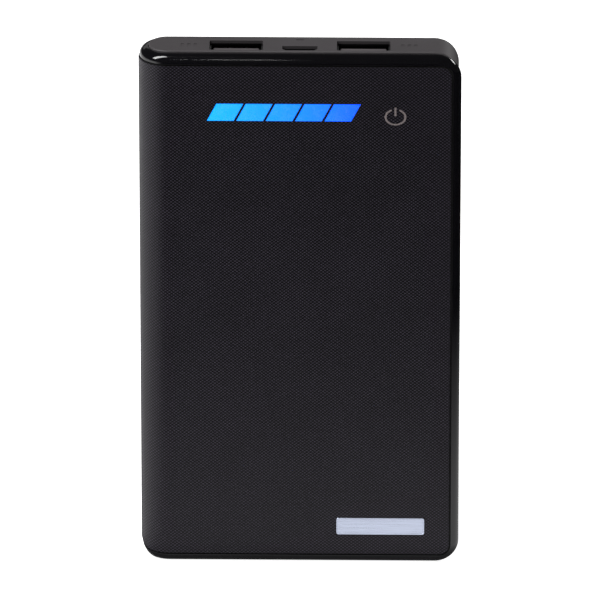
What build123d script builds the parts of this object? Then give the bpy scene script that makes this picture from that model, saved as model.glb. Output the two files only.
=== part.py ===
from build123d import *
import math
import os

# Pocket power bank built like a small book. Millimetres, +Z up, front faces -Y, sockets in the top end.

# Overall sizes
width = 80.0
height = 139.1
cover_depth = 14.0
skin_thick = 0.25

# Covers
frame_proud_top = 0.55
frame_recess_right = 0.75
cover_wall = 1.4
cover_edge = 2.15
cover_edge_round = 2.05
cover_corner = 6.0
spine_corner_bottom = 4.5
back_cover_recess = 0.65
pocket_rim = 3.2
frame_gap = 0.15

# Skin edges, measured in from the covers' edges
skin_rim_top = 2.65
skin_rim_bottom = 2.7
skin_rim_right = 2.5
skin_corner = 2.4
skin_spine_corner = 2.2
skin_groove_w = 0.5
skin_groove_t = 0.35
seat_gap = 0.1

# Frame
frame_end_wall = 2.0
frame_side_wall = 1.6
frame_edge_round = 0.35
bridge_drop = 30.8
bridge_thick = 1.6

# Sockets
usb_pitch = 31.5
usb_y = -0.9
usb_hole_w = 13.2
usb_hole_d = 5.8
usb_shell_w = 13.0
usb_shell_d = 5.7
usb_shell_len = 14.0
shell_sheet = 0.3
shell_sink = 0.7
tongue_w = 11.3
tongue_t = 1.84
tongue_y = 0.4
tongue_sink = 1.3
micro_hole_w = 8.7
micro_hole_d = 2.6
micro_shell_w = 8.0
micro_shell_d = 2.4
micro_len = 5.6

# Main board
board_thick = 0.6
board_sink = 0.9
board_above_bridge = 3.2
board_below_wall = 2.0
board_gap = 0.9

# Power key and its switch
key_from_right = 16.3
key_from_top = 16.25
key_r = 4.6
key_gap = 0.12
key_flange_w = 0.8
key_flange_t = 0.4
key_seat_gap = 0.05
key_travel = 0.2
switch_w = 4.5
switch_cover_t = 0.1
plunger_r = 1.0
plunger_gap = 0.1
plunger_flange_r = 1.4

# Charge gauge
gauge_from_left = 17.0
gauge_to_key = 8.5
gauge_below_key = 1.5
gauge_h = 4.7
gauge_cells = 5
gauge_bar = 0.55
gauge_lean = 27.0
guide_gap = 0.05
guide_plate_t = 0.4
guide_margin = 1.5

# Badge
badge_from_right = 19.7
badge_z = 10.35
badge_w = 22.1
badge_h = 4.6

# Battery
cell_z0 = 8.6
cell_gap_left = 2.35
cell_gap_right = 4.45
cell_gap_bridge = 5.8
foam_t = 0.5
bond_tape_t = 0.2
guard_inset = 11.0
guard_t = 0.8
tab_t = 0.15
lead_r = 0.65

# Screws
screw_r = 0.8
screw_clear = 0.15
screw_head_r = 1.5
screw_head_t = 0.7
screw_from_spine = 1.15
screw_from_right = 4.75
screw_low_z = 5.5

# Worked out from the sizes above
half_w = width / 2
half_d = cover_depth / 2
front_y = -half_d
cover_inner = half_d - cover_wall
spine_x = -half_w + skin_thick + half_d
cover_z0 = 0
cover_z1 = height - frame_proud_top
frame_half = half_d - cover_edge - frame_gap
frame_right = half_w - frame_recess_right
slot_half = frame_half + frame_gap
bridge_z = height - bridge_drop
inner_left = spine_x + frame_side_wall
inner_right = frame_right - frame_side_wall
inner_top = height - frame_end_wall
board_back_y = board_sink - frame_half
board_front_y = board_back_y - board_thick
board_z0 = bridge_z + board_above_bridge
board_z1 = inner_top - board_below_wall
board_x0 = inner_left + board_gap
board_x1 = inner_right - board_gap
skin_z0 = cover_z0 + skin_rim_bottom
skin_z1 = cover_z1 - skin_rim_top
skin_right = half_w - skin_rim_right
key_x = half_w - key_from_right
key_z = height - key_from_top
key_flange_r = key_r + key_flange_w
gauge_x0 = gauge_from_left - half_w
gauge_x1 = key_x - gauge_to_key
gauge_z0 = key_z - gauge_below_key
gauge_z1 = gauge_z0 + gauge_h
badge_x = half_w - badge_from_right
cell_x0 = inner_left + cell_gap_left
cell_x1 = inner_right - cell_gap_right
cell_z1 = bridge_z - bridge_thick / 2 - cell_gap_bridge
cell_outer = cover_inner - foam_t
cell_mid = (bond_tape_t / 2 + cell_outer) / 2
guard_x0 = cell_x0 + guard_inset
guard_x1 = cell_x1 - guard_inset
guard_face = guard_t / 2
lead_xs = (guard_x0 + 4, guard_x0 + 8)
key_back_y = -cover_inner + key_seat_gap + key_flange_t
switch_front_y = key_back_y + key_travel + 0.05
screw_left_x = spine_x + screw_from_spine
screw_right_x = frame_right - screw_from_right
screw_high_z = bridge_z + 0.6
boss_r = 2.4
board_screws_at = [(board_x0 + 2.2, board_z0 + 2.5), (board_x1 - 2.2, board_z0 + 3.0)]
case_screws_at = [(x, z) for x in (screw_left_x, screw_right_x) for z in (screw_low_z, screw_high_z)]


def box(x0, x1, y0, y1, z0, z1):
    return Pos((x0 + x1) / 2, (y0 + y1) / 2, (z0 + z1) / 2) * Box(x1 - x0, y1 - y0, z1 - z0)


def rod(x, z, r, y0, y1):
    return Pos(x, (y0 + y1) / 2, z) * Rot(90, 0, 0) * Cylinder(r, y1 - y0)


def round_corner(shape, x, z, r):
    edge = min(
        shape.edges().filter_by(Axis.Y),
        key=lambda e: (e.center().X - x) ** 2 + (e.center().Z - z) ** 2,
    )
    return fillet(edge, r)


def slab(x0, x1, y0, y1, z0, z1, low_left, high_left, low_right, high_right):
    shape = box(x0, x1, y0, y1, z0, z1)
    for x, z, r in ((x0, z0, low_left), (x0, z1, high_left), (x1, z0, low_right), (x1, z1, high_right)):
        if r:
            shape = round_corner(shape, x, z, r)
    return shape


def book_block(r, right, z0, z1):
    """Block with a half-round left side about the spine line."""
    body = Pos(spine_x, 0, (z0 + z1) / 2) * Cylinder(r, z1 - z0)
    return body + box(spine_x, right, -r, r, z0, z1)


def rim_edges(shape):
    """The edge loop round the block, without the seams between tangent faces."""
    kept = []
    for edge in shape.edges():
        across = edge % 0.5
        straight = edge.geom_type == GeomType.LINE
        if straight and abs(across.Y) > 0.99:
            continue
        if straight and abs(across.Z) > 0.99 and abs(edge.center().X - spine_x) < 0.01:
            continue
        kept.append(edge)
    return kept


def gauge_shape(index, grow, y0, y1):
    lean = (gauge_z1 - gauge_z0) * math.tan(math.radians(gauge_lean))
    step = (gauge_x1 - gauge_x0 - lean + gauge_bar) / gauge_cells
    x0 = gauge_x0 + index * step - grow
    x1 = gauge_x0 + (index + 1) * step - gauge_bar + grow
    z0 = gauge_z0 - grow
    z1 = gauge_z1 + grow
    points = [(x0, z0), (x1, z0), (x1 + lean, z1), (x0 + lean, z1)]
    face = make_face(Polyline(*[Vector(x, y0, z) for x, z in points], close=True))
    return extrude(face, amount=y1 - y0, dir=(0, 1, 0))


def gauge_centre(index):
    middle = gauge_shape(index, 0, 0, 1).center()
    return middle.X, middle.Z


def book_cover(right, y0, y1):
    """One rounded cover with its half of the spine, the frame's slot and the groove round the skin."""
    book = book_block(half_d, right, cover_z0, cover_z1)
    book = book & slab(
        -half_w, right, -half_d, half_d, cover_z0, cover_z1,
        spine_corner_bottom, 0, cover_corner, cover_corner,
    )
    book = fillet(rim_edges(book), cover_edge_round)
    book = book - book_block(slot_half, half_w + 1, -1, height + 1)
    groove = skin_outline(half_d + 1, skin_groove_w) - skin_outline(half_d + 2, 0)
    groove = groove - book_block(half_d - skin_groove_t, half_w + 1, -1, height + 1)
    return (book - groove) & box(-half_w, right, y0, y1, 0, height)


def skin_outline(r, grow):
    """Outline of the skin wrapped round a block of half depth r, grown outward in its own surface."""
    body = book_block(r, skin_right + grow, skin_z0 - grow, skin_z1 + grow)
    return body & slab(
        -half_w - grow, skin_right + grow, -10, 10, skin_z0 - grow, skin_z1 + grow,
        skin_spine_corner + grow, 0, skin_corner + grow, skin_corner + grow,
    )


def make_covers():
    pocket = slab(
        inner_left + 0.5, half_w - pocket_rim, -cover_inner, cover_inner,
        cover_z0 + pocket_rim, cover_z1 - pocket_rim, 3, 3, 3, 3,
    )
    for x, z in case_screws_at:
        pocket = pocket - rod(x, z, boss_r + 0.6, -half_d, half_d)
    front = book_cover(half_w, -half_d, 0) - pocket
    back = book_cover(half_w - back_cover_recess, 0, half_d) - pocket
    front = front - rod(key_x, key_z, key_r + key_gap, front_y - 1, 0)
    for index in range(gauge_cells):
        front = front - gauge_shape(index, 0, front_y - 1, 0)
    for x, z in case_screws_at:
        front = front - rod(x, z, screw_r, -half_d + 0.7, 0)
        back = back - rod(x, z, screw_r + screw_clear, 0, half_d)
        back = back - rod(x, z, screw_head_r + screw_clear, half_d - screw_head_t - 0.1, half_d + 1)
    return front, back


def make_frame():
    frame = book_block(frame_half, frame_right, 0, height)
    frame = frame & slab(
        -half_w, frame_right, -frame_half, frame_half, 0, height,
        0, 0, cover_corner, cover_corner,
    )
    frame = fillet(rim_edges(frame), frame_edge_round)
    frame = frame - box(inner_left, inner_right, -10, 10, frame_end_wall, inner_top)
    bridge = box(
        inner_left - 0.5, inner_right + 0.5, -frame_half, frame_half,
        bridge_z - bridge_thick / 2, bridge_z + bridge_thick / 2,
    )
    frame = frame + (bridge - box(lead_xs[0] - 3, lead_xs[1] + 3, -10, 1.5, 0, height))
    for x, z in case_screws_at:
        wall = inner_right + 0.5 if x > 0 else inner_left - 0.5
        frame = frame + rod(x, z, boss_r, -frame_half, frame_half)
        frame = frame + box(min(x, wall), max(x, wall), -frame_half, frame_half, z - 1, z + 1)
    left, right = board_screws_at
    frame = frame + box(inner_left - 0.5, left[0], board_back_y, frame_half, left[1] - 1, left[1] + 1)
    frame = frame + box(right[0], inner_right + 0.5, board_back_y, frame_half, right[1] - 1, right[1] + 1)
    for x, z in board_screws_at:
        frame = frame + rod(x, z, 2.0, board_back_y, frame_half)
        frame = frame - rod(x, z, screw_r, -10, 0)
    for x, z in case_screws_at:
        frame = frame - rod(x, z, screw_r + screw_clear, -10, 10)
    end_z = inner_top - 1
    for side in (-1, 1):
        x = side * usb_pitch / 2
        hole = box(
            x - usb_hole_w / 2, x + usb_hole_w / 2, usb_y - usb_hole_d / 2, usb_y + usb_hole_d / 2,
            end_z, height + 1,
        )
        frame = frame - fillet(hole.edges().filter_by(Axis.Z), 0.35)
    frame = frame - micro_outline(micro_hole_w, micro_hole_d, end_z, height + 1)
    return frame - port_marks()


def port_marks():
    """Shallow marks in the top face: bars beside the large sockets, an arrow in by the small one."""
    top = height - 0.12
    marks = []
    for side in (-1, 1):
        x = side * (usb_pitch / 2 + 11.5)
        for step in range(3):
            left = x + step * 1.6 - 2.2
            marks.append(box(left, left + 0.8, usb_y - 0.9, usb_y + 0.9, top, height + 1))
    arrow = make_face(Polyline((-1.1, 2.9, top), (1.1, 2.9, top), (0, 1.3, top), close=True))
    marks.append(extrude(arrow, amount=1, dir=(0, 0, 1)))
    return Compound(children=marks)


def micro_outline(w, d, z0, z1):
    """Shape of the small socket: a box with its two board-side corners cut away."""
    y = micro_y()
    shape = box(-w / 2, w / 2, y - d / 2, y + d / 2, z0, z1)
    low = [e for e in shape.edges().filter_by(Axis.Z) if e.center().Y < y]
    return chamfer(low, 0.8)


def micro_y():
    return board_back_y + micro_shell_d / 2


def make_skin():
    skin = skin_outline(half_d + skin_thick, 0)
    skin = skin - book_block(half_d, half_w + 1, -1, height + 1)
    skin = skin - rod(key_x, key_z, key_r + key_gap, -10, 0)
    for index in range(gauge_cells):
        skin = skin - gauge_shape(index, 0, -10, 0)
    return skin - box(
        badge_x - badge_w / 2 - seat_gap, badge_x + badge_w / 2 + seat_gap, -10, 0,
        badge_z - badge_h / 2 - seat_gap, badge_z + badge_h / 2 + seat_gap,
    )


def make_badge():
    plate = slab(
        badge_x - badge_w / 2, badge_x + badge_w / 2, front_y - skin_thick, front_y,
        badge_z - badge_h / 2, badge_z + badge_h / 2, 0.5, 0.5, 0.5, 0.5,
    )
    face = plate.faces().sort_by(Axis.Y)[0]
    return chamfer(face.edges(), 0.08)


def make_key():
    key = rod(key_x, key_z, key_r, front_y, key_back_y)
    key = key + rod(key_x, key_z, key_flange_r, key_back_y - key_flange_t, key_back_y)
    face = rod(key_x, key_z, key_r, front_y - skin_thick, front_y)
    return key, face


def make_switch():
    half = switch_w / 2
    cover_back = switch_front_y + switch_cover_t
    base = box(key_x - half, key_x + half, cover_back, board_front_y, key_z - half, key_z + half)
    well = plunger_flange_r + plunger_gap
    base = base - rod(key_x, key_z, well, cover_back - 1, cover_back + 0.42)
    cover = box(key_x - half, key_x + half, switch_front_y, cover_back, key_z - half, key_z + half)
    cover = cover - rod(key_x, key_z, plunger_r + plunger_gap, -10, 0)
    plunger = rod(key_x, key_z, plunger_r, key_back_y, cover_back + 0.05)
    plunger = plunger + rod(key_x, key_z, plunger_flange_r, cover_back + 0.05, cover_back + 0.17)
    return base, cover, plunger


def make_gauge():
    plate_back = -cover_inner + guide_plate_t
    guide = box(
        gauge_x0 - guide_margin, gauge_x1 + guide_margin, -cover_inner, plate_back,
        gauge_z0 - guide_margin, gauge_z1 + guide_margin,
    )
    shield = box(
        gauge_x0 - guide_margin, gauge_x1 + guide_margin, plate_back, board_front_y,
        gauge_z0 - guide_margin, gauge_z1 + guide_margin,
    )
    leds = []
    for index in range(gauge_cells):
        guide = guide + gauge_shape(index, -guide_gap, front_y - skin_thick, -cover_inner)
        x, z = gauge_centre(index)
        shield = shield - box(x - 3.2, x + 3.2, -10, 0, z - 2.4, z + 2.4)
        leds.append(box(x - 0.8, x + 0.8, board_front_y - 0.5, board_front_y, z - 0.4, z + 0.4))
    return guide, shield, Compound(children=leds)


def make_board():
    board = slab(board_x0, board_x1, board_front_y, board_back_y, board_z0, board_z1, 1, 1, 1, 1)
    for x, z in board_screws_at:
        board = board - rod(x, z, screw_r + screw_clear, -10, 0)
    for side in (-1, 1):
        for leg in shell_legs(side * usb_pitch / 2, 0.2):
            board = board - leg
    return board


def shell_legs(x, grow):
    legs = []
    for side in (-1, 1):
        for z in (height - 8.0, height - 5.4):
            lx = x + side * (usb_shell_w / 2 - shell_sheet / 2)
            legs.append(box(
                lx - shell_sheet / 2 - grow, lx + shell_sheet / 2 + grow,
                board_front_y - 0.3, usb_y - usb_shell_d / 2 + 0.5, z - 0.5 - grow, z + 0.5 + grow,
            ))
    return legs


def make_usb(x):
    z1 = height - shell_sink
    z0 = z1 - usb_shell_len
    w = usb_shell_w / 2
    d = usb_shell_d / 2
    shell = fillet(box(x - w, x + w, -d, d, z0, z1).edges().filter_by(Axis.Z), 0.5)
    bore = box(x - w + shell_sheet, x + w - shell_sheet, -d + shell_sheet, d - shell_sheet, z0 - 1, z1 + 1)
    shell = shell - fillet(bore.edges().filter_by(Axis.Z), 0.25)
    shell = shell - box(x - 5, x + 5, -d - 1, 0, z0 - 1, z0 + 1.8)
    contacts = []
    back = board_back_y - usb_y
    under = tongue_y - tongue_t / 2
    over = tongue_y + tongue_t / 2
    for offset in (-3.5, -1.0, 1.0, 3.5):
        strip = box(x + offset - 0.5, x + offset + 0.5, under - 0.25, under, z0 + 0.8, z1 - 1.6)
        strip = strip + box(x + offset - 0.5, x + offset + 0.5, back, under, z0 + 0.8, z0 + 1.1)
        strip = strip + box(x + offset - 0.5, x + offset + 0.5, back, back + 0.2, z0 - 0.8, z0 + 1.1)
        contacts.append(strip)
    tongue = box(x - tongue_w / 2, x + tongue_w / 2, under, over, z0 + 3, height - tongue_sink)
    tip = tongue.faces().sort_by(Axis.Z)[-1]
    tongue = chamfer(tip.edges(), 0.2)
    block = box(
        x - w + shell_sheet + 0.05, x + w - shell_sheet - 0.05,
        -d + shell_sheet + 0.05, d - shell_sheet - 0.05, z0 + 0.3, z0 + 3.2,
    )
    tongue = tongue + fillet(block.edges().filter_by(Axis.Z), 0.25)
    tongue = tongue + box(x - 4.9, x + 4.9, back, -d + shell_sheet + 0.2, z0 + 0.3, z0 + 1.6)
    for strip in contacts:
        tongue = tongue - strip
    place = Pos(0, usb_y, 0)
    shell = place * shell
    for leg in shell_legs(x, 0):
        shell = shell + leg
    return shell, place * tongue, Compound(children=[place * strip for strip in contacts])


def make_micro():
    z1 = height - shell_sink
    z0 = z1 - micro_len
    y = micro_y()
    shell = micro_outline(micro_shell_w, micro_shell_d, z0, z1)
    bore = micro_outline(micro_shell_w - 0.5, micro_shell_d - 0.5, z0 - 1, z1 + 1)
    shell = shell - bore
    tongue = micro_outline(micro_shell_w - 0.6, micro_shell_d - 0.6, z0, z0 + 1.4)
    tongue = tongue + box(-1.9, 1.9, y + 0.15, y + 0.75, z0 + 1, z1 - 0.8)
    contacts = []
    for step in range(5):
        cx = (step - 2) * 0.65
        contacts.append(box(cx - 0.15, cx + 0.15, y + 0.03, y + 0.15, z0 - 0.4, z1 - 1.1))
    for strip in contacts:
        tongue = tongue - strip
    return shell, tongue, Compound(children=contacts)


def make_board_parts():
    back = board_back_y
    x = board_x0 + 7.7
    z = board_z0 + 6.4
    core = rod(x, z, 4.6, back, back + 0.8)
    core = core + rod(x, z, 2.2, back + 0.8, back + 4.0)
    core = core + rod(x, z, 4.6, back + 4.0, back + 4.8)
    winding = rod(x, z, 4.1, back + 0.8, back + 4.0) - rod(x, z, 2.2, back, back + 6)
    chips = Compound(children=[
        box(board_x1 - 32.25, board_x1 - 26.25, back, back + 1.5, board_z0 + 3.6, board_z0 + 8.6),
        box(board_x1 - 22.75, board_x1 - 17.75, back, back + 0.9, board_z0 + 4.1, board_z0 + 9.1),
    ])
    cans = []
    z = board_z0 + 9.6
    for x in (board_x1 - 12.2, board_x1 - 7.9):
        base = box(x - 2.0, x + 2.0, back, back + 0.3, z - 2.0, z + 2.0)
        cans.append(base + rod(x, z, 1.9, back + 0.3, back + 4.5))
    small = []
    for row in range(3):
        for column in range(2):
            x = board_x0 + 16.7 + column * 2.6
            z = board_z0 + 5.0 + row * 1.9
            small.append(box(x - 0.8, x + 0.8, back, back + 0.5, z - 0.4, z + 0.4))
    return core, winding, chips, Compound(children=cans), Compound(children=small)


def make_battery():
    mid = bond_tape_t / 2
    cells = []
    pads = []
    for side in (-1, 1):
        y0, y1 = sorted((side * mid, side * cell_outer))
        cell = box(cell_x0, cell_x1, y0, y1, cell_z0, cell_z1)
        cells.append(fillet(cell.edges().filter_by(Axis.Z), 1.2))
        y0, y1 = sorted((side * cell_outer, side * cover_inner))
        for z in (cell_z0 + 12, cell_z1 - 32):
            pads.append(box(cell_x0 + 9, cell_x1 - 9, y0, y1, z, z + 20))
    tape = box(cell_x0 + 6, cell_x1 - 6, -mid, mid, cell_z0 + 8, cell_z1 - 8)
    return cells[0], cells[1], tape, Compound(children=pads)


def make_guard():
    """Guard board over the cells, the four cell tabs bent onto it, and the tape over them."""
    bend = cell_z1 + 3.0
    guard = box(guard_x0, guard_x1, -guard_face, guard_face, cell_z1 + 1.6, cell_z1 + 5.2)
    tabs = []
    for x in (guard_x1 - 17, guard_x1 - 8):
        for side in (-1, 1):
            out = side * (cell_mid + tab_t / 2)
            face = side * guard_face
            low, high = sorted((out, side * (cell_mid - tab_t / 2)))
            tab = box(x, x + 4, low, high, cell_z1, bend + tab_t)
            low, high = sorted((out, face))
            tab = tab + box(x, x + 4, low, high, bend, bend + tab_t)
            low, high = sorted((face, side * (guard_face + tab_t)))
            tabs.append(tab + box(x, x + 4, low, high, bend, bend + 1.6))
    inside = guard_face + tab_t + 0.01
    wrap = box(guard_x1 - 17.5, guard_x1 - 2, -inside - 0.1, inside + 0.1, bend + 0.3, cell_z1 + 5.3)
    wrap = wrap - box(guard_x0, guard_x1, -inside, inside, bend, cell_z1 + 5.2)
    return guard, Compound(children=tabs), wrap


def make_lead(x):
    """Lead from the guard board up past the bridge to the main board."""
    y0 = -guard_face - lead_r
    y1 = board_back_y + lead_r
    route = [
        Vector(x, y0, cell_z1 + 2.0), Vector(x, y0, cell_z1 + 4.9),
        Vector(x, y1, board_z0 + 0.2), Vector(x, y1, board_z0 + 3.4),
    ]
    runs = [(b - a).length for a, b in zip(route, route[1:])]
    half_turn = math.atan((y0 - y1) / (route[2].Z - route[1].Z)) / 2
    radii = [0.45 * min(a, b) / math.tan(half_turn) for a, b in zip(runs, runs[1:])]
    path = FilletPolyline(*route, radius=radii)
    lead = sweep(Plane(origin=route[0], z_dir=(0, 0, 1)) * Circle(lead_r), path=path)
    print("lead length", round(path.length, 2), "volume over section times length",
          round(lead.volume / (math.pi * lead_r ** 2 * path.length), 4))
    return lead


def make_case_screws():
    screws = []
    seat = half_d - screw_head_t - 0.1
    for x, z in case_screws_at:
        screw = rod(x, z, screw_r, -half_d + 0.9, seat)
        screw = screw + rod(x, z, screw_head_r, seat, seat + screw_head_t)
        for wide, tall in ((0.35, 1.6), (1.6, 0.35)):
            slot = box(x - wide / 2, x + wide / 2, seat + 0.3, half_d, z - tall / 2, z + tall / 2)
            screw = screw - slot
        screws.append(screw)
    return Compound(children=screws)


def make_board_screws():
    screws = []
    for x, z in board_screws_at:
        screw = rod(x, z, screw_r, board_front_y, -0.5)
        screws.append(screw + rod(x, z, screw_head_r - 0.1, board_front_y - 0.55, board_front_y))
    return Compound(children=screws)


os.makedirs("parts", exist_ok=True)
nodes = {}
nodes["front_cover"], nodes["back_cover"] = make_covers()
nodes["port_frame"] = make_frame()
nodes["wrap_skin"] = make_skin()
nodes["badge_plate"] = make_badge()
nodes["power_key"], nodes["power_key_face"] = make_key()
nodes["switch_base"], nodes["switch_cover"], nodes["switch_plunger"] = make_switch()
nodes["charge_light_guide"], nodes["light_shield"], nodes["charge_leds"] = make_gauge()
nodes["main_board"] = make_board()
for name, side in (("left", -1), ("right", 1)):
    shell, tongue, contacts = make_usb(side * usb_pitch / 2)
    nodes["usb_shell_" + name] = shell
    nodes["usb_tongue_" + name] = tongue
    nodes["usb_contacts_" + name] = contacts
nodes["micro_usb_shell"], nodes["micro_usb_tongue"], nodes["micro_usb_contacts"] = make_micro()
core, winding, chips, cans, small = make_board_parts()
nodes["inductor_core"] = core
nodes["inductor_winding"] = winding
nodes["power_chips"] = chips
nodes["filter_capacitors"] = cans
nodes["chip_resistors"] = small
front_cell, back_cell, tape, pads = make_battery()
guard, tabs, wrap = make_guard()
nodes["cell_front"] = front_cell
nodes["cell_back"] = back_cell
nodes["cell_bond_tape"] = tape
nodes["foam_pads"] = pads
nodes["protection_board"] = guard
nodes["cell_tabs"] = tabs
nodes["insulating_tape"] = wrap
nodes["positive_lead"] = make_lead(lead_xs[0])
nodes["negative_lead"] = make_lead(lead_xs[1])
nodes["case_screws"] = make_case_screws()
nodes["board_screws"] = make_board_screws()
for node, shape in nodes.items():
    export_step(shape, "parts/" + node + ".step")
print("wrote", len(nodes), "nodes")
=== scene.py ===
import math
import bmesh
import bpy
from mathutils import Matrix, Vector


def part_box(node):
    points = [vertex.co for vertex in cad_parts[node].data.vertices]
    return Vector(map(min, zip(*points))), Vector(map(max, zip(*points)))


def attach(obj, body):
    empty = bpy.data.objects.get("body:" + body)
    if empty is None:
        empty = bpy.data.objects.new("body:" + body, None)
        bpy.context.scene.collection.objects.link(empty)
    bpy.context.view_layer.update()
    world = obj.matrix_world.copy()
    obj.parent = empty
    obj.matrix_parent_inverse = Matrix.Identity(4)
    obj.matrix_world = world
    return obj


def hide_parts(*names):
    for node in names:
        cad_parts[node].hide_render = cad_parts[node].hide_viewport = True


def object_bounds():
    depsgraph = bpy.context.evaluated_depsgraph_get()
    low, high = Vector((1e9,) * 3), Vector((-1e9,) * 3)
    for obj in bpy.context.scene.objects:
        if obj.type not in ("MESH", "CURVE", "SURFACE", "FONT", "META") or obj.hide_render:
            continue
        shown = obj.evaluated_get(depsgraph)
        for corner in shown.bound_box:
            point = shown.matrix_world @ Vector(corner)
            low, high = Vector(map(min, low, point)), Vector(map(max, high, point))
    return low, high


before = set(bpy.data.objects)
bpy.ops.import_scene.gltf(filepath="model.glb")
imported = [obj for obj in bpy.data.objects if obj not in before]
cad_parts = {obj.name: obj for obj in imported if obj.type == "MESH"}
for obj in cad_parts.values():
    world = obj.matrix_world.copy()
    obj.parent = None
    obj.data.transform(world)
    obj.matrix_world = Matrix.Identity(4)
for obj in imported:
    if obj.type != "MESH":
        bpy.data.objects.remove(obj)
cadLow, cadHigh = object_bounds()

print("frame loaded:", len(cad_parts), "nodes")
scene = bpy.context.scene
scene.view_settings.view_transform = "Standard"

mm = 0.001
skinLow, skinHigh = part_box("wrap_skin")
keyLow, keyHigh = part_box("power_key_face")
badgeLow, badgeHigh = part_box("badge_plate")
guideLow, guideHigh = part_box("charge_light_guide")
boxMiddle = (cadLow + cadHigh) / 2


# helpers for building meshes

def makeObject(name, mesh):
    obj = bpy.data.objects.new(name, mesh)
    scene.collection.objects.link(obj)
    return obj


def meshFrom(bm, name):
    mesh = bpy.data.meshes.new(name)
    bm.to_mesh(mesh)
    bm.free()
    return mesh


def addBlock(bm, low, high):
    # one box between two corners, returned as its new vertices
    size = Vector(high) - Vector(low)
    middle = (Vector(high) + Vector(low)) / 2
    made = bmesh.ops.create_cube(bm, size=1.0)["verts"]
    bmesh.ops.scale(bm, vec=size, verts=made)
    bmesh.ops.translate(bm, vec=middle, verts=made)
    return made


def edgesOf(verts):
    return list({edge for vert in verts for edge in vert.link_edges})


def roundEdges(bm, edges, width, steps):
    return bmesh.ops.bevel(
        bm, geom=edges, offset=width, segments=steps, profile=0.5, affect="EDGES", material=-1
    )


def cutWith(target, cutter, operation):
    # applies one exact boolean and drops the cutter
    boolean = target.modifiers.new("cut", "BOOLEAN")
    boolean.operation = operation
    boolean.solver = "EXACT"
    boolean.object = cutter
    bpy.context.view_layer.update()
    graph = bpy.context.evaluated_depsgraph_get()
    mesh = bpy.data.meshes.new_from_object(target.evaluated_get(graph))
    target.modifiers.remove(boolean)
    target.data = mesh
    bpy.data.objects.remove(cutter)
    return target


def finishPiece(obj, material, body, replaced):
    obj.data.materials.clear()
    obj.data.materials.append(material)
    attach(obj, body)
    if replaced:
        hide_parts(replaced)
    print("piece", obj.name, len(obj.data.polygons), "faces")
    return obj


# helpers for building node materials

def newMaterial(name):
    material = bpy.data.materials.new(name)
    material.use_nodes = True
    shader = material.node_tree.nodes["Principled BSDF"]
    return material, material.node_tree, shader


def addNode(tree, kind, **values):
    node = tree.nodes.new(kind)
    for key, value in values.items():
        setattr(node, key, value)
    return node


def mathNode(tree, operation, first, second=None, third=None):
    node = addNode(tree, "ShaderNodeMath", operation=operation)
    for index, value in enumerate((first, second, third)):
        if value is None:
            continue
        if isinstance(value, (int, float)):
            node.inputs[index].default_value = value
        else:
            tree.links.new(value, node.inputs[index])
    return node.outputs[0]


def newGroup(name, inputs, outputs):
    tree = bpy.data.node_groups.new(name, "ShaderNodeTree")
    for label, kind, value in inputs:
        socket = tree.interface.new_socket(name=label, in_out="INPUT", socket_type=kind)
        if value is not None:
            socket.default_value = value
    for label, kind in outputs:
        tree.interface.new_socket(name=label, in_out="OUTPUT", socket_type=kind)
    return tree, tree.nodes.new("NodeGroupInput"), tree.nodes.new("NodeGroupOutput")


def placeGroup(tree, group, **values):
    node = tree.nodes.new("ShaderNodeGroup")
    node.node_tree = group
    for key, value in values.items():
        node.inputs[key].default_value = value
    return node


def objectPoint(tree):
    return tree.nodes.new("ShaderNodeTexCoord").outputs["Object"]


# moulded grain: two noises, one fine for bump and one broad for tone
grainGroup, grainIn, grainOut = newGroup(
    "mouldedGrain",
    [("Fine", "NodeSocketFloat", 4000.0), ("Broad", "NodeSocketFloat", 60.0)],
    [("Height", "NodeSocketFloat"), ("Tone", "NodeSocketFloat")],
)
grainPoint = objectPoint(grainGroup)
fineNoise = addNode(grainGroup, "ShaderNodeTexNoise")
fineNoise.inputs["Detail"].default_value = 2.0
broadNoise = addNode(grainGroup, "ShaderNodeTexNoise")
broadNoise.inputs["Detail"].default_value = 4.0
grainGroup.links.new(grainPoint, fineNoise.inputs["Vector"])
grainGroup.links.new(grainPoint, broadNoise.inputs["Vector"])
grainGroup.links.new(grainIn.outputs["Fine"], fineNoise.inputs["Scale"])
grainGroup.links.new(grainIn.outputs["Broad"], broadNoise.inputs["Scale"])
grainGroup.links.new(fineNoise.outputs["Fac"], grainOut.inputs["Height"])
grainGroup.links.new(broadNoise.outputs["Fac"], grainOut.inputs["Tone"])


def tonedColour(tree, fac, darker, lighter):
    mix = addNode(tree, "ShaderNodeMix", data_type="RGBA")
    mix.inputs["A"].default_value = (*darker, 1)
    mix.inputs["B"].default_value = (*lighter, 1)
    tree.links.new(fac, mix.inputs["Factor"])
    return mix.outputs["Result"]


def spread(tree, fac, low, high):
    node = addNode(tree, "ShaderNodeMapRange")
    node.inputs["From Min"].default_value = 0.3
    node.inputs["From Max"].default_value = 0.7
    node.inputs["To Min"].default_value = low
    node.inputs["To Max"].default_value = high
    tree.links.new(fac, node.inputs["Value"])
    return node.outputs["Result"]


def bandDistance(tree, value, middle, half):
    # how far a coordinate lies outside a band, negative inside
    off = mathNode(tree, "ABSOLUTE", mathNode(tree, "SUBTRACT", value, middle))
    return mathNode(tree, "SUBTRACT", off, half)


def lengthOf(tree, first, second):
    squares = mathNode(
        tree, "ADD", mathNode(tree, "MULTIPLY", first, first), mathNode(tree, "MULTIPLY", second, second)
    )
    return mathNode(tree, "SQRT", squares)


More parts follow.
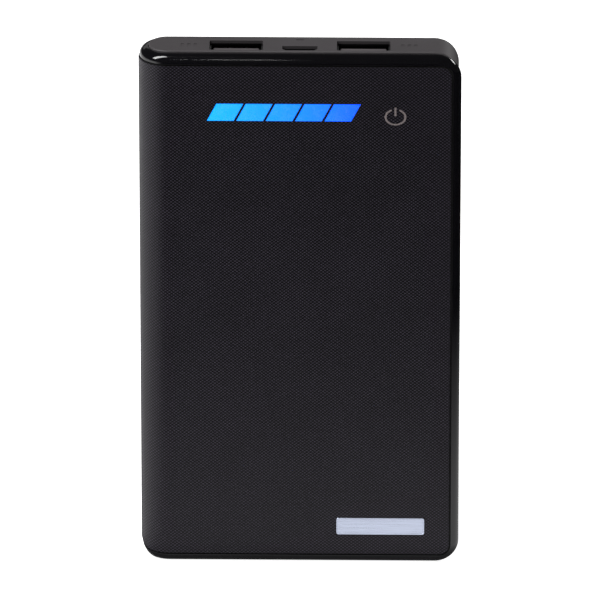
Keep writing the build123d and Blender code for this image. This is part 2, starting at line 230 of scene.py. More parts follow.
# the groove round the skin is dull: distance from the skin's rounded outline, in the front view
groove = {
    "corner": 2.4 * mm,
    "wide": 0.52 * mm,
    "gloss": 0.1,
    "rough": 0.8,
}
grooveGroup, grooveIn, grooveOut = newGroup(
    "dullGroove",
    [("Gloss", "NodeSocketFloat", groove["gloss"]), ("Rough", "NodeSocketFloat", groove["rough"])],
    [("Roughness", "NodeSocketFloat")],
)
grooveSplit = grooveGroup.nodes.new("ShaderNodeSeparateXYZ")
grooveGroup.links.new(objectPoint(grooveGroup), grooveSplit.inputs[0])
skinMiddle = (skinLow + skinHigh) / 2
skinHalf = (skinHigh - skinLow) / 2
sideways = bandDistance(grooveGroup, grooveSplit.outputs["X"], skinMiddle.x, skinHalf.x - groove["corner"])
upright = bandDistance(grooveGroup, grooveSplit.outputs["Z"], skinMiddle.z, skinHalf.z - groove["corner"])
fromCorner = lengthOf(
    grooveGroup,
    mathNode(grooveGroup, "MAXIMUM", sideways, 0.0),
    mathNode(grooveGroup, "MAXIMUM", upright, 0.0),
)
grooveInside = mathNode(grooveGroup, "LESS_THAN", fromCorner, groove["corner"] + groove["wide"])
grooveMix = addNode(grooveGroup, "ShaderNodeMix")
grooveGroup.links.new(grooveInside, grooveMix.inputs["Factor"])
grooveGroup.links.new(grooveIn.outputs["Gloss"], grooveMix.inputs["A"])
grooveGroup.links.new(grooveIn.outputs["Rough"], grooveMix.inputs["B"])
grooveGroup.links.new(grooveMix.outputs["Result"], grooveOut.inputs["Roughness"])


def grainMaterial(name, look):
    # one moulded, plated or foil finish, from a settings dictionary
    material, tree, shader = newMaterial(name)
    grain = placeGroup(tree, grainGroup, Fine=look.get("fine", 4000.0), Broad=look.get("broad", 60.0))
    colour = look["colour"]
    vary = look.get("vary", 0.15)
    darker = [c * (1 - vary) for c in colour]
    lighter = [min(1.0, c * (1 + vary)) for c in colour]
    tone = spread(tree, grain.outputs["Tone"], 0.0, 1.0)
    tree.links.new(tonedColour(tree, tone, darker, lighter), shader.inputs["Base Color"])
    wander = look.get("wander", 0.04)
    rough = spread(tree, grain.outputs["Tone"], look["rough"] - wander, look["rough"] + wander)
    if "groove" in look:
        dull = placeGroup(tree, grooveGroup, Rough=look["groove"])
        tree.links.new(rough, dull.inputs["Gloss"])
        rough = dull.outputs["Roughness"]
    tree.links.new(rough, shader.inputs["Roughness"])
    bump = addNode(tree, "ShaderNodeBump")
    bump.inputs["Strength"].default_value = look.get("bump", 0.1)
    bump.inputs["Distance"].default_value = look.get("depth", 0.02) * mm
    tree.links.new(grain.outputs["Height"], bump.inputs["Height"])
    tree.links.new(bump.outputs["Normal"], shader.inputs["Normal"])
    shader.inputs["Metallic"].default_value = look.get("metal", 0.0)
    shader.inputs["Specular IOR Level"].default_value = look.get("shine", 0.5)
    shader.inputs["Coat Weight"].default_value = look.get("coat", 0.0)
    shader.inputs["Coat Roughness"].default_value = 0.05
    return material


# finishes of the carried-over parts, one settings dictionary each

finishes = {
    "glossBlack": {"colour": (0.0022, 0.002, 0.0028), "rough": 0.07, "wander": 0.02, "bump": 0.02,
                   "fine": 900.0, "broad": 45.0, "vary": 0.1, "shine": 0.5, "groove": 0.8},
    "frameMatte": {"colour": (0.05, 0.045, 0.048), "rough": 0.55, "wander": 0.05, "bump": 0.35,
                   "fine": 7000.0, "depth": 0.03, "vary": 0.06},
    # socket shells: steel coloured near-black, painted shade for the inside of the ports
    "socketSteelPaintedShade": {"colour": (0.034, 0.034, 0.036), "rough": 0.3, "metal": 1.0, "fine": 3000.0},
    "socketPlastic": {"colour": (0.1, 0.09, 0.094), "rough": 0.45, "bump": 0.2},
    "platedGold": {"colour": (0.8, 0.56, 0.22), "rough": 0.25, "metal": 1.0},
    "guideBlue": {"colour": (0.05, 0.2, 0.7), "rough": 0.2, "coat": 0.5},
    "shieldWhite": {"colour": (0.72, 0.72, 0.7), "rough": 0.5},
    "ledResin": {"colour": (0.85, 0.85, 0.7), "rough": 0.25},
    "boardMask": {"colour": (0.012, 0.1, 0.045), "rough": 0.35, "fine": 2500.0, "broad": 300.0,
                  "vary": 0.2},
    "switchBlack": {"colour": (0.02, 0.02, 0.02), "rough": 0.5},
    "switchSteel": {"colour": (0.6, 0.6, 0.6), "rough": 0.28, "metal": 1.0},
    "plungerWhite": {"colour": (0.8, 0.8, 0.78), "rough": 0.4},
    "ferriteGrey": {"colour": (0.06, 0.06, 0.062), "rough": 0.6, "bump": 0.4},
    "copperWire": {"colour": (0.6, 0.24, 0.09), "rough": 0.3, "metal": 1.0, "fine": 2000.0, "bump": 0.5},
    "chipBlack": {"colour": (0.018, 0.018, 0.018), "rough": 0.55, "bump": 0.3},
    "canSilver": {"colour": (0.7, 0.7, 0.72), "rough": 0.3, "metal": 1.0},
    "ceramicTan": {"colour": (0.4, 0.28, 0.17), "rough": 0.45},
    "pouchFoil": {"colour": (0.5, 0.52, 0.54), "rough": 0.35, "metal": 0.8, "fine": 700.0, "bump": 0.5},
    "nickelTab": {"colour": (0.6, 0.58, 0.53), "rough": 0.32, "metal": 1.0},
    "amberFilm": {"colour": (0.5, 0.22, 0.03), "rough": 0.2, "coat": 0.6},
    "whiteFilm": {"colour": (0.75, 0.75, 0.74), "rough": 0.55},
    "greyFoam": {"colour": (0.09, 0.09, 0.1), "rough": 0.9, "fine": 1500.0, "bump": 0.8, "depth": 0.1},
    "redSleeve": {"colour": (0.5, 0.015, 0.01), "rough": 0.4},
    "blackSleeve": {"colour": (0.015, 0.015, 0.015), "rough": 0.4},
    "screwSteel": {"colour": (0.3, 0.3, 0.31), "rough": 0.3, "metal": 1.0},
}
nodeFinishes = {
    "front_cover": "glossBlack", "back_cover": "glossBlack", "power_key": "glossBlack",
    "port_frame": "frameMatte", "badge_plate": "switchSteel", "wrap_skin": "switchBlack",
    "power_key_face": "switchBlack", "charge_light_guide": "guideBlue",
    "light_shield": "shieldWhite", "charge_leds": "ledResin", "main_board": "boardMask",
    "switch_base": "switchBlack", "switch_cover": "switchSteel", "switch_plunger": "plungerWhite",
    "usb_shell_left": "socketSteelPaintedShade", "usb_shell_right": "socketSteelPaintedShade",
    "micro_usb_shell": "socketSteelPaintedShade", "usb_tongue_left": "socketPlastic",
    "usb_tongue_right": "socketPlastic", "micro_usb_tongue": "socketPlastic",
    "usb_contacts_left": "platedGold", "usb_contacts_right": "platedGold",
    "micro_usb_contacts": "platedGold",
    "inductor_core": "ferriteGrey", "inductor_winding": "copperWire", "power_chips": "chipBlack",
    "filter_capacitors": "canSilver", "chip_resistors": "ceramicTan", "cell_front": "pouchFoil",
    "cell_back": "pouchFoil", "cell_bond_tape": "whiteFilm", "foam_pads": "greyFoam",
    "protection_board": "boardMask", "cell_tabs": "nickelTab", "insulating_tape": "amberFilm",
    "positive_lead": "redSleeve", "negative_lead": "blackSleeve", "case_screws": "screwSteel",
    "board_screws": "screwSteel",
}
built = {name: grainMaterial(name, look) for name, look in finishes.items()}
for node, finish in nodeFinishes.items():
    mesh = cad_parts[node].data
    mesh.materials.clear()
    mesh.materials.append(built[finish])
print("finishes placed:", len(built))


# woven skin: settings, in metres
weave = {
    "stepX": 0.51 * mm,
    "stepZ": 0.41 * mm,
    "depth": 0.08 * mm,
    "outer": 0.02 * mm,
    "thick": 0.25 * mm,
    "backColumns": 30,
    "backFlatColumns": 4,
    "sharpAngle": math.radians(50),
    "fibreScale": 5200.0,
    "patchScale": 70.0,
    "patchTone": (0.85, 1.1),
    # gap colour: near-black, painted shade in the recesses between the raised threads
    "colourGapPaintedShade": (0.0003, 0.00025, 0.0004),
    "colourThread": (0.04, 0.0335, 0.051),
    "threadPower": 2.6,
    "threadGrain": 0.35,
    "roughGap": 0.42,
    "roughThread": 0.33,
    "shine": 0.18,
    "bumpDepth": 0.05 * mm,
    "bumpStrength": 0.9,
    "cornerRight": 2.4 * mm,
    "cornerLowLeft": 2.2 * mm,
}
skinRadius = (skinHigh.y - skinLow.y) / 2
spineX = cadLow.x + skinRadius
skinFlat = skinHigh.x - spineX
skinBend = math.pi * skinRadius
frontColumns = round((skinFlat + skinBend / 2) / weave["stepX"])
skinRows = round((skinHigh.z - skinLow.z) / weave["stepZ"])
pitchX = (skinFlat + skinBend / 2) / frontColumns
pitchZ = (skinHigh.z - skinLow.z) / skinRows
holeGap = 0.04 * mm  # round the key
seatGap = 0.1 * mm  # round the badge
cutReach = 2 * mm  # how far a cutter stands out each side of the front

# lattice of raised threads: the way round the wrap and the height give one mask
latticeGroup, latticeIn, latticeOut = newGroup(
    "wovenLattice", [("Grain", "NodeSocketFloat", weave["fibreScale"])],
    [("Mask", "NodeSocketFloat"), ("Fibre", "NodeSocketFloat")],
)
latticePoint = objectPoint(latticeGroup)
latticeSplit = latticeGroup.nodes.new("ShaderNodeSeparateXYZ")
latticeGroup.links.new(latticePoint, latticeSplit.inputs[0])
flatSide = mathNode(latticeGroup, "SUBTRACT", latticeSplit.outputs["X"], spineX)
flatWay = mathNode(latticeGroup, "MAXIMUM", flatSide, 0.0)
bendSide = mathNode(latticeGroup, "MAXIMUM", mathNode(latticeGroup, "MULTIPLY", flatSide, -1.0), 0.0)
bendAngle = mathNode(
    latticeGroup, "ARCTAN2", bendSide, mathNode(latticeGroup, "ABSOLUTE", latticeSplit.outputs["Y"])
)
bendWay = mathNode(latticeGroup, "MULTIPLY", bendAngle, skinRadius)
wrapWay = mathNode(latticeGroup, "SUBTRACT", bendWay, flatWay)
wrapWay = mathNode(latticeGroup, "ADD", wrapWay, skinFlat)
upWay = mathNode(latticeGroup, "SUBTRACT", latticeSplit.outputs["Z"], skinLow.z)
acrossWave = mathNode(latticeGroup, "COSINE", mathNode(latticeGroup, "MULTIPLY", wrapWay, math.pi / pitchX))
upWave = mathNode(latticeGroup, "COSINE", mathNode(latticeGroup, "MULTIPLY", upWay, math.pi / pitchZ))
latticeWave = mathNode(latticeGroup, "MULTIPLY", acrossWave, upWave)
latticeMask = mathNode(latticeGroup, "MULTIPLY_ADD", latticeWave, 0.5, 0.5)
fibreNoise = addNode(latticeGroup, "ShaderNodeTexNoise")
fibreNoise.inputs["Detail"].default_value = 2.0
latticeGroup.links.new(latticePoint, fibreNoise.inputs["Vector"])
latticeGroup.links.new(latticeIn.outputs["Grain"], fibreNoise.inputs["Scale"])
latticeGroup.links.new(latticeMask, latticeOut.inputs["Mask"])
latticeGroup.links.new(fibreNoise.outputs["Fac"], latticeOut.inputs["Fibre"])


def weaveMaterial(name, markMaker=None):
    # light raised threads over gaps coloured near-black as painted shade of the recesses, with fibre noise
    # and a broad change of tone
    material, tree, shader = newMaterial(name)
    lattice = placeGroup(tree, latticeGroup, Grain=weave["fibreScale"])
    grain = placeGroup(tree, grainGroup, Fine=weave["fibreScale"], Broad=weave["patchScale"])
    fibre = spread(tree, lattice.outputs["Fibre"], 1 - weave["threadGrain"], 1 + weave["threadGrain"])
    thread = mathNode(tree, "POWER", lattice.outputs["Mask"], weave["threadPower"])
    thread = mathNode(tree, "MULTIPLY", thread, fibre)
    thread = mathNode(tree, "MULTIPLY", thread, spread(tree, grain.outputs["Tone"], *weave["patchTone"]))
    thread.node.use_clamp = True
    # threads over gaps whose near-black colour is painted shade
    colour = tonedColour(tree, thread, weave["colourGapPaintedShade"], weave["colourThread"])
    if markMaker:
        split = tree.nodes.new("ShaderNodeSeparateXYZ")
        tree.links.new(objectPoint(tree), split.inputs[0])
        mix = addNode(tree, "ShaderNodeMix", data_type="RGBA")
        tree.links.new(colour, mix.inputs["A"])
        mix.inputs["B"].default_value = (*keyMark["colour"], 1)
        tree.links.new(markMaker(tree, split), mix.inputs["Factor"])
        colour = mix.outputs["Result"]
    tree.links.new(colour, shader.inputs["Base Color"])
    rough = addNode(tree, "ShaderNodeMapRange")
    rough.inputs["To Min"].default_value = weave["roughGap"]
    rough.inputs["To Max"].default_value = weave["roughThread"]
    tree.links.new(thread, rough.inputs["Value"])
    tree.links.new(rough.outputs["Result"], shader.inputs["Roughness"])
    bump = addNode(tree, "ShaderNodeBump")
    bump.inputs["Strength"].default_value = weave["bumpStrength"]
    bump.inputs["Distance"].default_value = weave["bumpDepth"]
    tree.links.new(thread, bump.inputs["Height"])
    tree.links.new(bump.outputs["Normal"], shader.inputs["Normal"])
    shader.inputs["Specular IOR Level"].default_value = weave["shine"]
    return material


def weaveDip(column, row):
    return 0.0 if (column + row) % 2 == 0 else weave["depth"]


def cornerDrop(distance, radius):
    # how far a rounded corner's edge lies in from the square one
    if distance >= radius:
        return 0.0
    return radius - math.sqrt(max(0.0, radius ** 2 - (radius - distance) ** 2))


def wrapPoint(along, lift):
    # way along the wrap, from the front's right edge round the spine to the back's
    radius = skinRadius - weave["outer"] - lift
    if along <= skinFlat:
        return skinHigh.x - along, -radius
    if along >= skinFlat + skinBend:
        return spineX + (along - skinFlat - skinBend), radius
    angle = (along - skinFlat) / skinRadius
    return spineX - radius * math.sin(angle), -radius * math.cos(angle)


def buildWrap():
    # relief on the front and the front half of the spine, plain columns behind it
    halfway = skinFlat + skinBend / 2
    columns = frontColumns + weave["backColumns"]
    bendColumns = weave["backColumns"] - weave["backFlatColumns"]
    bm = bmesh.new()
    for rowCount, inner in ((skinRows, False), (1, True)):
        made = bmesh.ops.create_grid(bm, x_segments=columns, y_segments=rowCount, size=0.5)["verts"]
        for vert in made:
            column = round((vert.co.x + 0.5) * columns)
            row = round((vert.co.y + 0.5) * rowCount)
            behind = column - frontColumns
            if behind <= 0:
                along = column * pitchX
            elif behind <= bendColumns:
                along = halfway + behind * skinBend / 2 / bendColumns
            else:
                along = skinFlat + skinBend + (behind - bendColumns) * skinFlat / weave["backFlatColumns"]
            lift = 0.0 if behind > 0 else weaveDip(column, row)
            if inner:
                lift = weave["thick"] - weave["outer"]
            x, y = wrapPoint(along, lift)
            side = x - cadLow.x
            low = skinLow.z + cornerDrop(side, weave["cornerLowLeft"])
            vert.co = (x, y, low + (skinHigh.z - low) * row / rowCount)
    rim = [edge for edge in bm.edges if edge.is_boundary]
    ends = {edge for edge in rim if all(abs(vert.co.x - skinHigh.x) < 1e-6 for vert in edge.verts)}
    for side in (-1, 1):
        level = [e for e in rim if e not in ends and (e.verts[0].co.z - boxMiddle.z) * side > 0]
        bmesh.ops.bridge_loops(bm, edges=level)
    for side in (-1, 1):
        loop = [e for e in bm.edges if e.is_boundary and e.verts[0].co.y * side > 0]
        bmesh.ops.contextual_create(bm, geom=loop)
    bmesh.ops.recalc_face_normals(bm, faces=bm.faces)
    openEdges = sum(1 for edge in bm.edges if not edge.is_manifold)
    print("wrap sheet:", columns, "by", skinRows, "open edges", openEdges)
    return makeObject("woven_wrap", meshFrom(bm, "woven_wrap"))


def gaugeOutline(index, grow, yLow, yHigh, bm):
    # one leaning gauge cell as a sheared block
    lean = (gauge["high"] - gauge["low"]) * math.tan(gauge["lean"])
    step = (gauge["right"] - gauge["left"] - lean + gauge["bar"]) / gauge["cells"]
    left = gauge["left"] + index * step - grow
    right = gauge["left"] + (index + 1) * step - gauge["bar"] + grow
    made = addBlock(bm, (left, yLow, gauge["low"] - grow), (right, yHigh, gauge["high"] + grow))
    for vert in made:
        if vert.co.z > (gauge["low"] + gauge["high"]) / 2:
            vert.co.x += lean
    return made


# charge gauge: five leaning lit cells
gauge = {
    "left": guideLow.x + 1.5 * mm,
    "right": guideHigh.x - 1.5 * mm,
    "low": guideLow.z + 1.5 * mm,
    "high": guideHigh.z - 1.5 * mm,
    "lean": math.radians(27.0),
    "bar": 0.55 * mm,
    "cells": 5,
    "gap": 0.05 * mm,
    "round": 0.12 * mm,
    "sink": 0.03 * mm,
    "plate": 0.4 * mm,
    "bury": 0.2 * mm,
    "glowLeft": (0.0, 0.27, 1.0),
    "glowRight": (0.0, 0.07, 1.0),
    "glow": 1.0,
    "rough": (0.2, 0.32),
}

# printed power mark on the key
keyMark = {
    "x": (keyLow.x + keyHigh.x) / 2,
    "z": (keyLow.z + keyHigh.z) / 2 - 0.2 * mm,
    "ringX": 2.45 * mm,
    "ringZ": 2.0 * mm,
    "line": 0.5 * mm,
    "gap": 0.95 * mm,
    "barLow": 0.3 * mm,
    "barHigh": 2.6 * mm,
    "spareThreads": 3,
    "colour": (0.15, 0.125, 0.125),
}


def addKeyDisc(bm, grow):
    # round plug on the key's axis, deep enough to pass through the front of the skin
    middle = (keyLow + keyHigh) / 2
    radius = (keyHigh.x - keyLow.x) / 2 + grow
    made = bmesh.ops.create_cone(
        bm, cap_ends=True, segments=96, radius1=radius, radius2=radius, depth=2 * cutReach
    )["verts"]
    bmesh.ops.rotate(bm, cent=(0, 0, 0), matrix=Matrix.Rotation(math.pi / 2, 3, "X"), verts=made)
    bmesh.ops.translate(bm, vec=(middle.x, skinLow.y, middle.z), verts=made)


def skinCutter():
    # key hole, gauge windows and badge seat, through the front of the skin only
    bm = bmesh.new()
    addKeyDisc(bm, holeGap)
    outside, inside = skinLow.y - cutReach, skinLow.y + cutReach
    for index in range(gauge["cells"]):
        gaugeOutline(index, 0, outside, inside, bm)
    addBlock(
        bm, (badgeLow.x - seatGap, outside, badgeLow.z - seatGap),
        (badgeHigh.x + seatGap, inside, badgeHigh.z + seatGap),
    )
    bmesh.ops.recalc_face_normals(bm, faces=bm.faces)
    return makeObject("skinCutter", meshFrom(bm, "skinCutter"))


def cornerKeeper():
    bm = bmesh.new()
    far = 12 * mm
    block = addBlock(bm, (skinLow.x - far, -far, skinLow.z), (skinHigh.x, far, skinHigh.z))
    deep = [e for e in edgesOf(block) if abs(e.verts[0].co.y - e.verts[1].co.y) > far]
    right = [e for e in deep if e.verts[0].co.x > 0]
    roundEdges(bm, right, weave["cornerRight"], 16)
    return makeObject("cornerKeeper", meshFrom(bm, "cornerKeeper"))


def shadeRelief(obj, sharpAngle):
    for polygon in obj.data.polygons:
        polygon.use_smooth = True
    obj.data.set_sharp_from_angle(angle=sharpAngle)


skinLook = weaveMaterial("wovenSkin")
wrap = buildWrap()
cutWith(wrap, cornerKeeper(), "INTERSECT")
cutWith(wrap, skinCutter(), "DIFFERENCE")
shadeRelief(wrap, weave["sharpAngle"])
finishPiece(wrap, skinLook, "case", "wrap_skin")


# key face: a disc of the same weave with the printed power mark

def powerMark(tree, split):
    x = mathNode(tree, "SUBTRACT", split.outputs["X"], keyMark["x"])
    z = mathNode(tree, "SUBTRACT", split.outputs["Z"], keyMark["z"])
    ratio = keyMark["ringX"] / keyMark["ringZ"]
    tall = mathNode(tree, "MULTIPLY", z, ratio)
    reach = lengthOf(tree, x, tall)
    off = mathNode(tree, "ABSOLUTE", mathNode(tree, "SUBTRACT", reach, keyMark["ringX"]))
    ring = mathNode(tree, "LESS_THAN", off, keyMark["line"] / 2)
    side = mathNode(tree, "ABSOLUTE", x)
    beside = mathNode(tree, "GREATER_THAN", side, keyMark["gap"])
    below = mathNode(tree, "LESS_THAN", z, 0.0)
    openPart = mathNode(tree, "MAXIMUM", beside, below)
    ring = mathNode(tree, "MULTIPLY", ring, openPart)
    bar = mathNode(tree, "LESS_THAN", side, keyMark["line"] / 2)
    bar = mathNode(tree, "MULTIPLY", bar, mathNode(tree, "GREATER_THAN", z, keyMark["barLow"]))
    bar = mathNode(tree, "MULTIPLY", bar, mathNode(tree, "LESS_THAN", z, keyMark["barHigh"]))
    return mathNode(tree, "MAXIMUM", ring, bar)


def buildKeyFace():
    # a patch of the same lattice with a few spare threads each side, cut round
    spare = keyMark["spareThreads"]
    columnsAcross = round((keyHigh.x - keyLow.x) / weave["stepX"]) + 2 * spare
    rowsAcross = round((keyHigh.z - keyLow.z) / weave["stepZ"]) + 2 * spare
    firstColumn = round((skinHigh.x - keyHigh.x) / pitchX) - spare
    firstRow = round((keyLow.z - skinLow.z) / pitchZ) - spare
    bm = bmesh.new()
    made = bmesh.ops.create_grid(bm, x_segments=columnsAcross, y_segments=rowsAcross, size=0.5)["verts"]
    for vert in made:
        column = firstColumn + round((vert.co.x + 0.5) * columnsAcross)
        row = firstRow + round((vert.co.y + 0.5) * rowsAcross)
        y = skinLow.y + weave["outer"] + weaveDip(column, row)
        vert.co = (skinHigh.x - column * pitchX, y, skinLow.z + row * pitchZ)
    rim = [edge for edge in bm.edges if edge.is_boundary]
    side = bmesh.ops.extrude_edge_only(bm, edges=rim)["geom"]
    for vert in side:
        if isinstance(vert, bmesh.types.BMVert):
            vert.co.y = keyHigh.y
    floor = [edge for edge in bm.edges if edge.is_boundary]
    bmesh.ops.contextual_create(bm, geom=floor)
    bmesh.ops.recalc_face_normals(bm, faces=bm.faces)
    patch = makeObject("woven_key_face", meshFrom(bm, "woven_key_face"))
    bm = bmesh.new()
    addKeyDisc(bm, 0.0)
    disc = makeObject("keyDisc", meshFrom(bm, "keyDisc"))
    return cutWith(patch, disc, "INTERSECT")


keyFace = buildKeyFace()
shadeRelief(keyFace, weave["sharpAngle"])
finishPiece(keyFace, weaveMaterial("wovenKey", powerMark), "power_key", "power_key_face")


# charge gauge: the lit lands stand on one guide plate

def glowMaterial():
    material, tree, shader = newMaterial("litGuide")
    split = tree.nodes.new("ShaderNodeSeparateXYZ")
    tree.links.new(objectPoint(tree), split.inputs[0])
    place = addNode(tree, "ShaderNodeMapRange")
    place.inputs["From Min"].default_value = gauge["left"]
    place.inputs["From Max"].default_value = gauge["right"]
    tree.links.new(split.outputs["X"], place.inputs["Value"])
    colour = tonedColour(tree, place.outputs["Result"], gauge["glowLeft"], gauge["glowRight"])
    tree.links.new(colour, shader.inputs["Base Color"])
    tree.links.new(colour, shader.inputs["Emission Color"])
    shader.inputs["Emission Strength"].default_value = gauge["glow"]
    grain = placeGroup(tree, grainGroup, Fine=2500.0, Broad=500.0)
    tree.links.new(spread(tree, grain.outputs["Tone"], *gauge["rough"]), shader.inputs["Roughness"])
    return material


def buildGauge():
    bm = bmesh.new()
    for index in range(gauge["cells"]):
        front, back = guideLow.y + gauge["sink"], guideHigh.y - gauge["bury"]
        land = gaugeOutline(index, -gauge["gap"], front, back, bm)
        faceEdges = [e for e in edgesOf(land) if all(v.co.y < front + gauge["round"] for v in e.verts)]
        roundEdges(bm, faceEdges, gauge["round"], 3)
    addBlock(bm, (guideLow.x, guideHigh.y - gauge["plate"], guideLow.z), guideHigh)
    bmesh.ops.recalc_face_normals(bm, faces=bm.faces)
    return makeObject("lit_gauge", meshFrom(bm, "lit_gauge"))


finishPiece(buildGauge(), glowMaterial(), "case", "charge_light_guide")


# badge plate with a fine raised border

badge = {
    "corner": 0.5 * mm,
    "edge": 0.07 * mm,
    "border": 0.32 * mm,
    "step": 0.06 * mm,
    "colour": (0.47, 0.51, 0.63),
    "darker": 0.85,
    "lighter": 1.12,
    "rough": (0.24, 0.38),
    "strokes": (90.0, 4000.0, 4000.0),
    "strokeBump": 0.12,
    "strokeDepth": 0.01 * mm,
    "metal": 0.85,
}


def badgeMaterial():
    material, tree, shader = newMaterial("satinSilver")
    stretch = tree.nodes.new("ShaderNodeMapping")
    stretch.inputs["Scale"].default_value = badge["strokes"]
    tree.links.new(objectPoint(tree), stretch.inputs["Vector"])
    strokes = addNode(tree, "ShaderNodeTexNoise")
    strokes.inputs["Scale"].default_value = 1.0
    strokes.inputs["Detail"].default_value = 3.0
    tree.links.new(stretch.outputs["Vector"], strokes.inputs["Vector"])
    colour = badge["colour"]
    tone = spread(tree, strokes.outputs["Fac"], 0.0, 1.0)
    darker = [c * badge["darker"] for c in colour]
    lighter = [c * badge["lighter"] for c in colour]
    tree.links.new(tonedColour(tree, tone, darker, lighter), shader.inputs["Base Color"])
    rough = spread(tree, strokes.outputs["Fac"], *badge["rough"])
    tree.links.new(rough, shader.inputs["Roughness"])
    bump = addNode(tree, "ShaderNodeBump")
    bump.inputs["Strength"].default_value = badge["strokeBump"]
    bump.inputs["Distance"].default_value = badge["strokeDepth"]
    tree.links.new(strokes.outputs["Fac"], bump.inputs["Height"])
    tree.links.new(bump.outputs["Normal"], shader.inputs["Normal"])
    shader.inputs["Metallic"].default_value = badge["metal"]
    return material


def buildBadge():
    bm = bmesh.new()
    block = addBlock(bm, badgeLow, badgeHigh)
    deep = [e for e in edgesOf(block) if abs(e.verts[0].co.y - e.verts[1].co.y) > 0.1 * mm]
    roundEdges(bm, deep, badge["corner"], 6)
    bm.normal_update()
    face = min(bm.faces, key=lambda f: f.calc_center_median().y)
    outline = list(face.edges)
    bmesh.ops.inset_individual(bm, faces=[face], thickness=badge["border"], use_even_offset=True)
    bmesh.ops.inset_individual(bm, faces=[face], thickness=badge["step"], depth=0.0, use_even_offset=True)
    bmesh.ops.translate(bm, vec=(0, badge["step"], 0), verts=face.verts)
    roundEdges(bm, [e for e in outline if e.is_valid], badge["edge"], 3)
    bmesh.ops.recalc_face_normals(bm, faces=bm.faces)
    return makeObject("badge_silver_plate", meshFrom(bm, "badge_silver_plate"))


finishPiece(buildBadge(), badgeMaterial(), "case", "badge_plate")


# floor, lights and camera
studio = {
    "floorSize": 6.0,
    "floorColour": (0.8, 0.8, 0.8),
    "floorTint": 0.98,
    "floorGlow": 0.95,
    "shadeSheetLift": 0.03 * mm,
    "aim": (0, 0, 0.12),
    "world": 0.05,
    # nearStart to footDark: painted shade for reflections of the floor, darker with distance, and a painted
    # contact shadow
    "nearStart": 0.02,
    "nearDark": 0.25,
    "farFull": 0.17,
    "farDark": 0.99,
    "openStart": 0.3,
    "openEnd": 1.3,
    "footX": 0.036,
    "footY": 0.004,
    "footStart": 0.003,
    "footEnd": 0.016,
    "footDark": 0.9,
}
panels = {
    "panelWindow": {"place": (-0.55, -0.33, 1.05), "size": (0.3, 1.1), "power": 16.0},
    "panelRear": {"place": (0.85, 0.68, 0.62), "size": (0.6, 0.2), "power": 5.0},
    "panelBack": {"place": (0.0, 1.5, 0.75), "size": (2.0, 0.3), "power": 0.8},
    "panelSpot": {"place": (-0.033, -0.75, 0.8), "size": (0.02, 0.02), "power": 0.05},
}
camera = {
    "distance": 2.6,
    "azimuth": math.radians(0.8),
    "elevation": math.radians(24.5),
    "lens": 624.0,
    "shiftY": 0.0001,
}


def buildFloor():
    bm = bmesh.new()
    bmesh.ops.create_grid(bm, x_segments=1, y_segments=1, size=studio["floorSize"])
    floor = makeObject("studio_floor", meshFrom(bm, "studio_floor"))
    material, tree, shader = newMaterial("paleFloor")
    grain = placeGroup(tree, grainGroup, Fine=900.0, Broad=3.0)
    pale = studio["floorColour"]
    colour = tonedColour(tree, grain.outputs["Tone"], [c * studio["floorTint"] for c in pale], pale)
    tree.links.new(colour, shader.inputs["Base Color"])
    tree.links.new(colour, shader.inputs["Emission Color"])
    shader.inputs["Emission Strength"].default_value = studio["floorGlow"] / pale[0]
    shader.inputs["Roughness"].default_value = 0.8
    shader.inputs["Specular IOR Level"].default_value = 0.1
    floor.data.materials.append(material)


def smoothRange(tree, value, start, end, low, high):
    node = addNode(tree, "ShaderNodeMapRange", interpolation_type="SMOOTHSTEP")
    for label, number in (("From Min", start), ("From Max", end), ("To Min", low), ("To Max", high)):
        node.inputs[label].default_value = number
    tree.links.new(value, node.inputs["Value"])
    return node.outputs["Result"]


def edgeDistance(tree, value, half):
    # how far a coordinate lies outside a band about zero
    outside = mathNode(tree, "SUBTRACT", mathNode(tree, "ABSOLUTE", value), half)
    return mathNode(tree, "MAXIMUM", outside, 0.0)


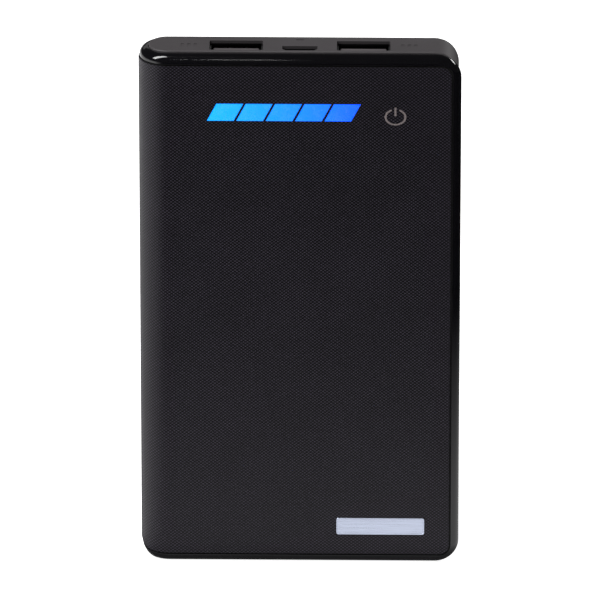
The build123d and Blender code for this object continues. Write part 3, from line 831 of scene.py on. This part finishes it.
def buildReflectedShade():
    # black sheet lying on the floor, seen only in reflections, that paints shade onto the reflected floor:
    # deeper with distance, open to the left, with a patch of painted contact shadow round the object's foot
    bm = bmesh.new()
    bmesh.ops.create_grid(bm, x_segments=1, y_segments=1, size=studio["floorSize"])
    bmesh.ops.translate(bm, vec=(0, 0, studio["shadeSheetLift"]), verts=bm.verts)
    shadeSheet = makeObject("reflected_shade_sheet", meshFrom(bm, "reflected_shade_sheet"))
    material, tree, shader = newMaterial("reflectedShadeBlack")
    split = tree.nodes.new("ShaderNodeSeparateXYZ")
    tree.links.new(objectPoint(tree), split.inputs[0])
    x, y = split.outputs["X"], split.outputs["Y"]
    away = lengthOf(tree, edgeDistance(tree, x, studio["footX"]), y)
    depth = smoothRange(
        tree, away, studio["nearStart"], studio["farFull"], studio["nearDark"], studio["farDark"]
    )
    ahead = mathNode(tree, "MAXIMUM", mathNode(tree, "MULTIPLY", y, -1.0), 0.01)
    left = mathNode(tree, "MULTIPLY", mathNode(tree, "ADD", x, studio["footX"]), -1.0)
    left = mathNode(tree, "DIVIDE", left, ahead)
    closed = smoothRange(tree, left, studio["openStart"], studio["openEnd"], 1.0, 0.0)
    foot = lengthOf(tree, edgeDistance(tree, x, studio["footX"]), edgeDistance(tree, y, studio["footY"]))
    shade = smoothRange(tree, foot, studio["footStart"], studio["footEnd"], studio["footDark"], 0.0)
    # painted shade: the reflected floor darkened with distance except towards the left, joined with the
    # painted contact shadow
    reflectedShade = mathNode(tree, "MAXIMUM", mathNode(tree, "MULTIPLY", depth, closed), shade)
    tree.links.new(reflectedShade, shader.inputs["Alpha"])
    shader.inputs["Base Color"].default_value = (0, 0, 0, 1)
    shader.inputs["Roughness"].default_value = 1.0
    shader.inputs["Specular IOR Level"].default_value = 0.0
    shadeSheet.data.materials.append(material)
    shadeSheet.visible_camera = False
    shadeSheet.visible_diffuse = False
    shadeSheet.visible_shadow = False


def addPanel(name, place, size, power):
    light = bpy.data.lights.new(name, "AREA")
    light.shape = "RECTANGLE"
    light.size, light.size_y = size
    light.energy = power
    obj = makeObject(name, light)
    obj.location = place
    obj.rotation_euler = (Vector(studio["aim"]) - Vector(place)).to_track_quat("-Z", "Y").to_euler()
    obj.visible_camera = False


def buildWorld():
    world = bpy.data.worlds.new("studioWorld")
    world.use_nodes = True
    scene.world = world
    back = world.node_tree.nodes["Background"]
    back.inputs["Color"].default_value = (1, 1, 1, 1)
    back.inputs["Strength"].default_value = studio["world"]


def buildCamera():
    data = bpy.data.cameras.new("camera")
    data.sensor_width = 36.0
    data.lens = camera["lens"]
    data.shift_y = camera["shiftY"]
    data.clip_end = 100.0
    obj = makeObject("camera", data)
    flat = camera["distance"] * math.cos(camera["elevation"])
    obj.location = boxMiddle + Vector((
        flat * math.sin(camera["azimuth"]),
        -flat * math.cos(camera["azimuth"]),
        camera["distance"] * math.sin(camera["elevation"]),
    ))
    obj.rotation_euler = (boxMiddle - obj.location).to_track_quat("-Z", "Y").to_euler()
    scene.camera = obj


buildFloor()
buildReflectedShade()
buildWorld()
buildCamera()
for name, panel in panels.items():
    addPanel(name, panel["place"], panel["size"], panel["power"])
print("stage built")
